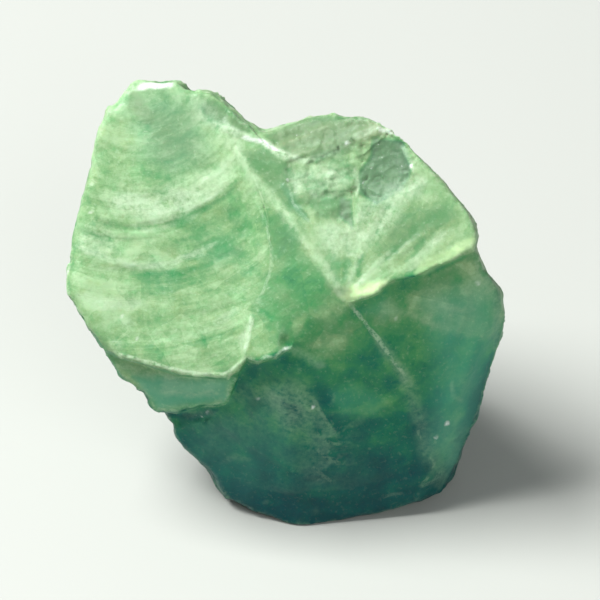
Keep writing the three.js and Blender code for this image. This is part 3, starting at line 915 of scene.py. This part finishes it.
marks["cool"] = [
    (patch, 2.0, 0.4, [(-16.2, 42.4), (-12, 43.4), (-8.6, 41.4), (-8, 37), (-11, 34.8), (-14.4, 36.6)]),
    (stroke, 0.5, 0.35, forms["flapFoot"]),
    (spot, 2.6, 0.15, (-12.6, 25), (-6.6, 27)),
    (patch, 0.6, 1.0, [(-15.4, 14.9), (-11.6, 14.7), (-5.8, 14.6), (-6, 12.5), (-13, 11.6)]),
    (patch, 0.8, 0.4, [(7.4, 21.4), (9.4, 22.8), (11, 21.4), (9.4, 20.6)]),
    (patch, 0.8, 0.35, [(4.2, 13.4), (6.4, 14.2), (9.4, 12.8), (8.8, 11), (5.4, 10.9)]),
    (patch, 2.0, 0.24, [(-10, 10), (-2, 13), (0, 8), (-4, 3), (-9, 7)]),
    (patch, 1.8, 0.75, [(13.4, 22.6), (19.8, 24.4), (21.4, 19), (16.6, 5), (14.2, 8), (14.8, 16)]),
]

# Thin pale lines over the front: width, strength and paths. They are kept as a distance, so that
# they come out finer than the mesh.
# Most are cracks; the lines along the lower rim of the left scar, the steep step at its right, the
# zigzag crest and the ridge through the saddle are painted highlights along lit edges.
fineReach = 4.0     # how far from a line it is kept, in line widths
fineLines = [
    (0.26, 0.9, [(6.1, 22.1), (7.3, 20.6), (8.7, 18.8), (10.2, 16.8), (12.2, 14.3)]),
    (0.3, 0.4, forms["crease"]),
    (0.17, 0.4, [(-0.2, 34.4), (0.4, 32.4), (2.2, 30)]),
    (0.22, 0.8, [(-17.7, 17.4), (-14.8, 16.6), (-12, 15.8), (-9.3, 15.2), (-6, 15.2), (-4.2, 16.9)]),
    (0.26, 0.9, [(-3.5, 20.9), (-3.9, 19), (-4.4, 17.4)]),
    (0.2, 0.35, [(-3.2, 22), (-1.8, 24.8), (-1.6, 27.5), (-2.2, 30), (-2.9, 32.4)]),
    (0.24, 0.9, [(-4.2, 16.9), (-3.6, 16.4), (-2.9, 16.3), (-2.2, 16.9), (-1.3, 16.8), (-0.6, 17.4),
        (0.4, 17.7)]),
    (0.3, 0.9, [(-5, 38.8), (-2.4, 38.2), (-0.9, 37.4), (0.6, 36.5)]),
    (0.22, 0.6, [(-13, 11.6), (-10.6, 11.4), (-8.8, 11.9), (-6.3, 12.3)]),
    (0.26, 0.45, [(2.4, 12.9), (3.3, 11.2), (4.9, 9)]),
    (0.24, 0.4, [(2.6, 9.4), (3.9, 8.4), (5.3, 8.1)], [(2.8, 7.8), (3.8, 6.9), (5.2, 6.2)]),
    (0.22, 0.35, [(2.4, 6), (3.2, 5.2), (4.4, 4.4)]),
    (0.24, 0.4, [(13.2, 3.9), (14.4, 4.3), (15.6, 5.1)]),
    (0.2, 0.3, [(9.6, 2.8), (10.4, 3.1), (11.4, 3.2)], forms["nick"]),
    (0.26, 0.5, [(14.1, 7), (14.6, 6.2), (14.6, 5.6)]),
    (0.2, 0.5, [(12.9, 9.6), (13.4, 8.4)]),
    (0.2, 0.4, [(14.9, 9.2), (14.6, 8)], forms["steepRay"], forms["lowRay"]),
    (0.2, 0.45, [(13.4, 4.1), (14, 4.9)], [(14.8, 4.6), (15.4, 5.5)]),
]

# The tone where no mark is: by height up the slope on the lower front, by height above the base
# elsewhere, each as place and tone. Both grow darker towards the foot, partly the stone's own colour
# zoning and, on the lower front, partly painted shade.
toneSteps = {
    "lower": [(0, 0.02), (3.5, 0.1), (6, 0.2), (9.5, 0.36), (13, 0.46), (17, 0.56), (22, 0.66)],
    "around": [(0, 0.03), (8, 0.2), (15, 0.48), (20, 0.72), (26, 0.86), (39, 0.93)],
    "shell": 0.93, "fan": 0.91, "smallLedge": 0.87, "centre": 0.88,
}

# How softly the tone of each face starts, and how the places beside it differ.
edgeSoftness = {"fan": 0.5, "centre": 0.8, "smallLedge": 0.5, "lower": 0.25, "worn": 2.0}
raggedEdge = (1.4, 0.16, (51, 53))      # size, reach and seeds of how every mark's edge wanders
lighterSide = {"centre": (-14, -3, 9), "radius": 7.0, "tone": 0.4}   # low on the left side

# How far each pattern moves the tone.
toneSwing = {
    # size, strength and seed of the clouds of the whole stone, and of the front's own
    "broad": (5, 0.12, 61),
    "fine": (1.8, 0.06, 67),
    "front": (2.4, 0.04, 65),
    "frontLower": 0.1,      # added to that strength on the lower front
    "edge": (4, 1, 63),     # the same three for how the bands of the lower front bend
    "rings": 0.06,
    "fan": 0.055,
    "layers": 0.1,
    "lower": 0.09,
    "relief": 0.9,          # for each millimetre that a place stands out, as painted light on raised places and painted shade in hollows
}

# Rings of the left scar: strength, waves around and waves outward.
ringWaves = [(1, 4, 1.5), (0.6, 9, 3.4), (0.4, 14, 7)]

veilShare = {
    "lower": 0.5,       # taken off the veils on the lower front
    "rings": 0.16,
    "ringFloor": 0.2,   # how far down the slope of a ring its veil reaches
    "ripples": 0.4,     # on the other scars
}

growth = {
    "across": (0.45, 0.3, 0.84),   # the growth bands lie square to this
    "pitch": 6.4,
    "warp": 2.6,
    "strength": 0.3,
}


def painted(name, uv):
    total = np.zeros(len(uv))
    for kind, size, strength, *places in marks[name]:
        for place in places:
            mask = strength * kind(place, size, uv)
            total += mask if name == "tone" else mask * (1 - total)
    return total


def nearestLine(uv):
    # distance in line widths from the nearest fine line, and the strength of that line
    best, strength = np.full(len(uv), fineReach), np.zeros(len(uv))
    for width, power, *paths in fineLines:
        for path in paths:
            gap, share, _ = toPath(path, uv)
            taper = np.clip(np.minimum(share, 1 - share) * 6 + 0.35, 0, 1)
            near = gap / width < best
            best[near] = (gap / width)[near]
            strength[near] = (power * taper)[near]
    return best, strength


def bands(points):
    # pale growth bands through the whole stone, from 0 to 1
    across = np.array(growth["across"]) / np.linalg.norm(growth["across"])
    depth = points @ across + growth["warp"] * wobble(points, 9, 41)
    wave = 0.5 + 0.5 * np.sin(depth * 2 * math.pi / growth["pitch"])
    return smooth(0.45, 1, wave) * np.clip(0.6 + 0.8 * wobble(points, 6, 43), 0, 1)


def sideTone(points):
    tone = np.interp(points[:, 2], *zip(*toneSteps["around"]))
    tone += uneven(toneSwing["broad"], points) + uneven(toneSwing["fine"], points)
    gap = np.linalg.norm(points - np.array(lighterSide["centre"]), axis=1) / lighterSide["radius"]
    return tone + lighterSide["tone"] * (1 - smooth(0.1, 1, gap))


def frontTone(points, straight, uv, rings):
    # straight is where each place lies on the front, uv the same made ragged
    tone = np.full(len(points), toneSteps["shell"])
    for name in ("fan", "centre"):
        tone += region(name, edgeSoftness[name], straight) * (toneSteps[name] - tone)
    bent = uv[:, 1] + uneven(toneSwing["edge"], points)
    lowerTone = np.interp(bent, *zip(*toneSteps["lower"]))
    worn = rim("lowerPath", straight)
    edge, hazy = [region("lower", edgeSoftness[name], straight) for name in ("lower", "worn")]
    tone += (edge + worn * (hazy - edge)) * (lowerTone - tone)
    ledge = region("smallLedge", edgeSoftness["smallLedge"], straight)
    tone += ledge * (toneSteps["smallLedge"] - tone)
    tone += painted("tone", uv)

    lower = region("lower", 0.5, uv)
    tone += toneSwing["rings"] * region("shell", 0.5, uv) * rings
    tone += toneSwing["fan"] * region("fan", 0.6, uv) * fanLines(uv)
    tone += toneSwing["layers"] * patch(layers["outline"], 0.5, uv) * layerLines(uv)
    tone += toneSwing["lower"] * lower * streaks(lowerRipples["blow"], uv, 3, 1.1, 9.5)
    size, strength, seed = toneSwing["front"]
    return tone + (strength + toneSwing["frontLower"] * lower) * wobble(points, size, seed)


def veilsAndHighlights(front, points, uv, rings):
    lower, shell = [region(name, 0.5, uv) for name in ("lower", "shell")]
    veil = painted("veil", uv) * (1 - veilShare["lower"] * lower)
    veil += shell * veilShare["rings"] * np.clip(rings + veilShare["ringFloor"], 0, 1)
    beside = growth["strength"] * bands(points) + veilShare["ripples"] * scarRipples(points)
    return front * veil + (1 - front) * beside


def fibrePlaces(front, points, straight, uv):
    # where each place lies across the fine lines of its own scar, and how strong they are there
    across = scarReach(points)
    ahead = front > 0.5
    across[ahead] = polar(shellRipples["blow"], uv)[0][ahead]
    lined = np.where(ahead, fibres["front"], fibres["around"])
    for name, value in (("lower", polar(lowerRipples["blow"], uv)[0]),
                        ("fan", polar(hackles["hub"], uv)[1] * hackles["pitch"])):
        inside = ahead & (region(name, 0.1, straight) > 0.5)
        across[inside] = value[inside]
        lined[inside] = fibres[name]
    return across, lined


def paintStone(surface):
    points = surface.points
    front = surface.facing(0.2, 0.5)
    straight = surface.facePlaces()[:, :2]
    size, reach, seeds = raggedEdge
    uv = straight + reach * np.stack([wobble(points, size, seed) for seed in seeds], axis=1)
    rings = np.zeros(len(points))
    for share, around, outward in ringWaves:
        rings += share * streaks(shellRipples["blow"], uv, around, outward, outward)

    tone = sideTone(points)
    tone += front * (frontTone(points, straight, uv, rings) - tone)
    # the relief also moves the tone: painted light on raised places, painted shade in hollows
    surface.attribute("tone", tone + toneSwing["relief"] * surface.relief)
    surface.attribute("veil", veilsAndHighlights(front, points, uv, rings))
    for name in ("glow", "shine", "dusty", "cool"):
        surface.attribute(name, front * painted(name, uv))
    across, lined = fibrePlaces(front, points, straight, uv)
    surface.attribute("across", across / fibres["longest"])
    surface.attribute("lined", lined * surface.awayFromSteps(across))
    gap, strength = nearestLine(uv)
    surface.attribute("gap", gap / fineReach)
    surface.attribute("line", front * strength)


def colour(code):
    parts = [int(code[i:i + 2], 16) / 255 for i in (0, 2, 4)]
    linear = [c / 12.92 if c <= 0.04045 else ((c + 0.055) / 1.055) ** 2.4 for c in parts]
    return (*linear, 1)


fluoriteTones = {
    # tone and colour, from the foot to the top
    "ramp": [(0.0, "004a4e"), (0.2, "005c56"), (0.38, "0c715a"), (0.55, "2f885a"), (0.7, "529b60"),
        (0.8, "6ea26e"), (0.88, "86b07b"), (1.0, "a6c998")],
    "cool": "5fb79a",
    "warm": "a59a78",
    "dusty": "7f926e",
    "veil": "d2e6cc",
    "glow": "dcf9bc",
    "shine": "f4f8f4",
    "paintedGlint": "ffffff",
    "body": "46ca92",       # the colour that light takes inside
}

fluoriteFinish = {
    "transmission": 0.3,
    "absorption": 85,       # per metre
    "subsurface": 0.42,
    "scatter": (0.5, 1.0, 0.75),    # how far red, green and blue spread, as a share of the next
    "scatterReach": 0.4,    # in millimetres
    "refraction": 1.434,
    "roughness": (0.33, 0.52),      # where it is clear, and where it is frosted or broken
    "specular": 0.15,
    # how strongly the painted places come out
    "cool": 0.6,
    "dusty": 0.75,
    "veil": 0.72,
    # paleness of the sharp crests: partly frosted chips, partly a painted highlight
    "crestFrostAndHighlight": 0.22,
    "lineTone": 0.13,       # the fine lines along each scar
    "lineHeight": 0.07,     # and their height in millimetres
    # scale of each pattern and its strength, or its height in millimetres
    "mottle": (300, 0.17),  # fine clouding
    "tint": (520, 0.3),     # warm and cool flecks
    "blocks": ((210, 0.09), (560, 0.07)),   # broken blocks inside
    "specks": (2600, 0.28),
    "paintedGlints": (1500, 0.45), # painted glints on broken grain
    "bend": (260, 1.2),     # how blocks and facets are bent
    "chips": (900, 0.1),    # fine facets
    "grain": (2600, 0.035),
}


def stonePatterns(g, place, paint):
    # what several parts of the material are made from, each about zero but for the bent place
    scale, _ = fluoriteFinish["mottle"]
    drift = g.vectors("SCALE", place, scale=fibres["along"] / mm)
    step = paint["across"] * fibres["longest"] * fibres["waves"]
    along = g.add("ShaderNodeCombineXYZ", {},
                  [g.part(drift, 0) + step, g.part(drift, 1), g.part(drift, 2)])
    bendScale, reach = fluoriteFinish["bend"]
    bend = g.vectors("SCALE", g.noiseColour(place, bendScale), scale=reach * mm)
    return {
        "clouds": g.noise(place, scale, 5, 0.62) - 0.5,
        "flecks": g.noise(place, scale * 7, 3, 0.7) - 0.5,
        "lines": (g.noise(along, 1.0, 4, 0.62) - 0.5) * paint["lined"],
        "bent": g.vectors("ADD", place, bend),
    }


def stoneTone(g, paint, patterns):
    tone, (_, strength) = paint["tone"], fluoriteFinish["mottle"]
    mottle = patterns["clouds"] * 2 + patterns["flecks"] * 1.8
    tone = tone + mottle * strength * (1.3 - tone * 0.55)
    tone = tone + patterns["lines"] * fluoriteFinish["lineTone"]
    for scale, strength in fluoriteFinish["blocks"]:
        cells = g.add("ShaderNodeTexVoronoi", {}, {"Vector": patterns["bent"], "Scale": scale}, "Color")
        tone = tone + (g.part(cells, 0) - 0.5) * strength
    return tone


def stoneFrostAndHighlight(g, place, paint, patterns, tone):
    # how pale each place is: the veils, the thin lines, the specks and the worn crests; the crests and
    # some of the veils and lines carry painted highlights
    values = fluoriteFinish
    clouds, flecks, lines = patterns["clouds"], patterns["flecks"], patterns["lines"]
    frostAndHighlight = (paint["veil"] * (1 + clouds * 2 + flecks * 3 + lines * 2.4)).clip() * values["veil"]
    thin = 1 - (paint["gap"] * fineReach + clouds * 1.4 + flecks * 2).ramp(0.5, 1.1)
    frostAndHighlight = g.maximum(frostAndHighlight, thin * paint["line"] * (0.75 + flecks * 4).clip())
    scale, strength = values["specks"]
    specks = g.noise(place, scale, 2, 0.6).ramp(0.56, 0.74) * strength
    frostAndHighlight = g.maximum(frostAndHighlight, specks * (0.35 + tone * 0.65))
    return g.maximum(frostAndHighlight, paint["crest"] * (values["crestFrostAndHighlight"] + flecks * 2.4).clip())


def stoneColour(g, place, paint, patterns, tone, frostAndHighlight):
    values = fluoriteFinish
    tints = {name: colour(code) for name, code in fluoriteTones.items() if name != "ramp"}
    stops = [(at, colour(code)) for at, code in fluoriteTones["ramp"]]
    base = g.add("ShaderNodeValToRGB", {"stops": stops}, {"Fac": tone})
    scale, strength = values["tint"]
    warmth = g.noise(place, scale, 4, 0.7)
    warm = warmth.ramp(0.5, 0.7) * strength * (tone * 2 - 1).clip()
    base = g.mixColour(warm, base, tints["warm"], "OVERLAY")
    base = g.mixColour((1 - warmth).ramp(0.5, 0.7) * strength, base, tints["cool"], "SOFT_LIGHT")
    for name in ("cool", "dusty"):
        base = g.mixColour(paint[name] * values[name], base, tints[name])

    lit = g.add("ShaderNodeValToRGB", {"stops": stops}, {"Fac": tone * 0.5 + 0.5})
    pale = g.mixColour(0.35 + tone * 0.3, lit, tints["veil"])
    base = g.mixColour(frostAndHighlight, base, pale)
    # painted glow where light comes out through the ledge
    base = g.mixColour((paint["glow"] * (0.85 + patterns["clouds"])).clip(), base, tints["glow"])
    # painted highlights and painted glints
    base = g.mixColour((paint["shine"] * (0.9 + patterns["flecks"] * 2)).clip(), base, tints["shine"])
    # painted glints on the broken grain and along the sharp crests
    scale, strength = values["paintedGlints"]
    paintedGlints = g.noise(place, scale, 2, 0.5).ramp(0.69, 0.77)
    paintedGlints = paintedGlints * g.maximum(paint["rough"] * 0.8, paint["crest"])
    return g.mixColour(paintedGlints * strength, base, tints["paintedGlint"])


def stoneRelief(g, place, paint, patterns):
    scale, height = fluoriteFinish["chips"]
    chips = g.add("ShaderNodeTexVoronoi", {}, {"Vector": patterns["bent"], "Scale": scale})
    relief = chips * (0.4 + paint["rough"]) * height
    scale, height = fluoriteFinish["grain"]
    grainy = g.noise(place, scale, 3, 0.6) * height
    relief = relief + grainy + patterns["lines"] * fluoriteFinish["lineHeight"]
    return g.add("ShaderNodeBump", {}, {"Strength": 1.0, "Distance": mm, "Height": relief})


def fluorite():
    material = bpy.data.materials.new("fluorite")
    material.use_nodes = True
    tree = material.node_tree
    tree.nodes.clear()
    g = Graph(tree)
    values = fluoriteFinish
    place = g.add("ShaderNodeTexCoord", output="Object")
    paint = {name: g.add("ShaderNodeAttribute", {"attribute_name": name}, output="Fac")
             for name in ("tone", "veil", "glow", "shine", "cool", "dusty", "crest", "rough",
                          "across", "lined", "gap", "line")}
    patterns = stonePatterns(g, place, paint)
    tone = stoneTone(g, paint, patterns)
    frostAndHighlight = stoneFrostAndHighlight(g, place, paint, patterns, tone)
    clear, frosted = values["roughness"]
    shader = g.add("ShaderNodeBsdfPrincipled", {}, {
        "Base Color": stoneColour(g, place, paint, patterns, tone, frostAndHighlight),
        "Roughness": clear + (frosted - clear) * g.maximum(frostAndHighlight, paint["rough"]),
        "Normal": stoneRelief(g, place, paint, patterns),
        "IOR": values["refraction"],
        "Specular IOR Level": values["specular"],
        "Transmission Weight": values["transmission"],
        "Subsurface Weight": values["subsurface"],
        "Subsurface Radius": values["scatter"],
        "Subsurface Scale": values["scatterReach"] * mm,
    })
    volume = g.add("ShaderNodeVolumeAbsorption", {}, {
        "Color": colour(fluoriteTones["body"]),
        "Density": values["absorption"],
    })
    out = tree.nodes.new("ShaderNodeOutputMaterial")
    tree.links.new(shader.socket, out.inputs["Surface"])
    tree.links.new(volume.socket, out.inputs["Volume"])
    return material


print("stone: shaping the broken faces")
surface = carveStone()
print("stone: painting", len(surface.points), "places")
paintStone(surface)
print("stone: breaking the surface up")
broken = breakUp(surface.mesh, fluorite())
for vertex in broken.vertices:      # the break-up may not reach past the solid's own box
    vertex.co = [min(max(c, least), most) for c, least, most in zip(vertex.co, cadLow, cadHigh)]
chunk = intoScene("fluoriteChunk", broken)
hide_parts("fluorite_chunk")
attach(chunk, "root")
print("stone:", len(broken.polygons), "faces")


studio = {
    "floorSize": 60.0,
    "floorColour": (0.42, 0.435, 0.405, 1),
    "floorRoughness": 0.6,
    "cameraFar": 1.2,
    "sensor": 36,
    # place, size and power
    "key": ((-0.35, 0.05, 0.6), 0.35, 10.4),
    "fill": ((0.3, -0.6, 0.4), 0.6, 2.7),
    "lightsAim": (0, 0, 0.02),
    "skyStrength": 0.2,
    "skyColour": (0.9, 0.95, 1.0, 1),
}


def floorPlane():
    shape = bmesh.new()
    bmesh.ops.create_grid(shape, x_segments=1, y_segments=1, size=studio["floorSize"] / 2)
    mesh = bpy.data.meshes.new("floor")
    shape.to_mesh(mesh)
    shape.free()
    floor = intoScene("floor", mesh)
    material = bpy.data.materials.new("paleFloor")
    material.use_nodes = True
    shader = material.node_tree.nodes["Principled BSDF"]
    shader.inputs["Base Color"].default_value = studio["floorColour"]
    shader.inputs["Roughness"].default_value = studio["floorRoughness"]
    mesh.materials.append(material)


def areaLight(name):
    place, size, power = studio[name]
    light = bpy.data.lights.new(name, "AREA")
    light.size, light.energy = size, power
    lamp = intoScene(name, light)
    lamp.location = place
    aim = Vector(studio["lightsAim"]) - Vector(place)
    lamp.rotation_euler = aim.to_track_quat("-Z", "Y").to_euler()
    lamp.visible_camera = False


def camera():
    data = bpy.data.cameras.new("camera")
    data.sensor_width = studio["sensor"]
    data.lens = studio["sensor"] * studio["cameraFar"] / (face["viewWidth"] * mm)
    data.clip_end = 100
    eye = intoScene("camera", data)
    u, v = face["middle"]
    target = (foot + u * axes[0] + v * axes[1]) * mm
    eye.location = Vector(target + axes[2] * studio["cameraFar"])
    eye.rotation_euler = (math.pi / 2 - face["elevation"], 0, 0)
    bpy.context.scene.camera = eye


def sky():
    world = bpy.data.worlds.new("studio")
    world.use_nodes = True
    background = world.node_tree.nodes["Background"]
    background.inputs["Color"].default_value = studio["skyColour"]
    background.inputs["Strength"].default_value = studio["skyStrength"]
    bpy.context.scene.world = world


print("studio: floor, lights and camera")
floorPlane()
areaLight("key")
areaLight("fill")
camera()
sky()
bpy.context.scene.view_settings.view_transform = "Standard"
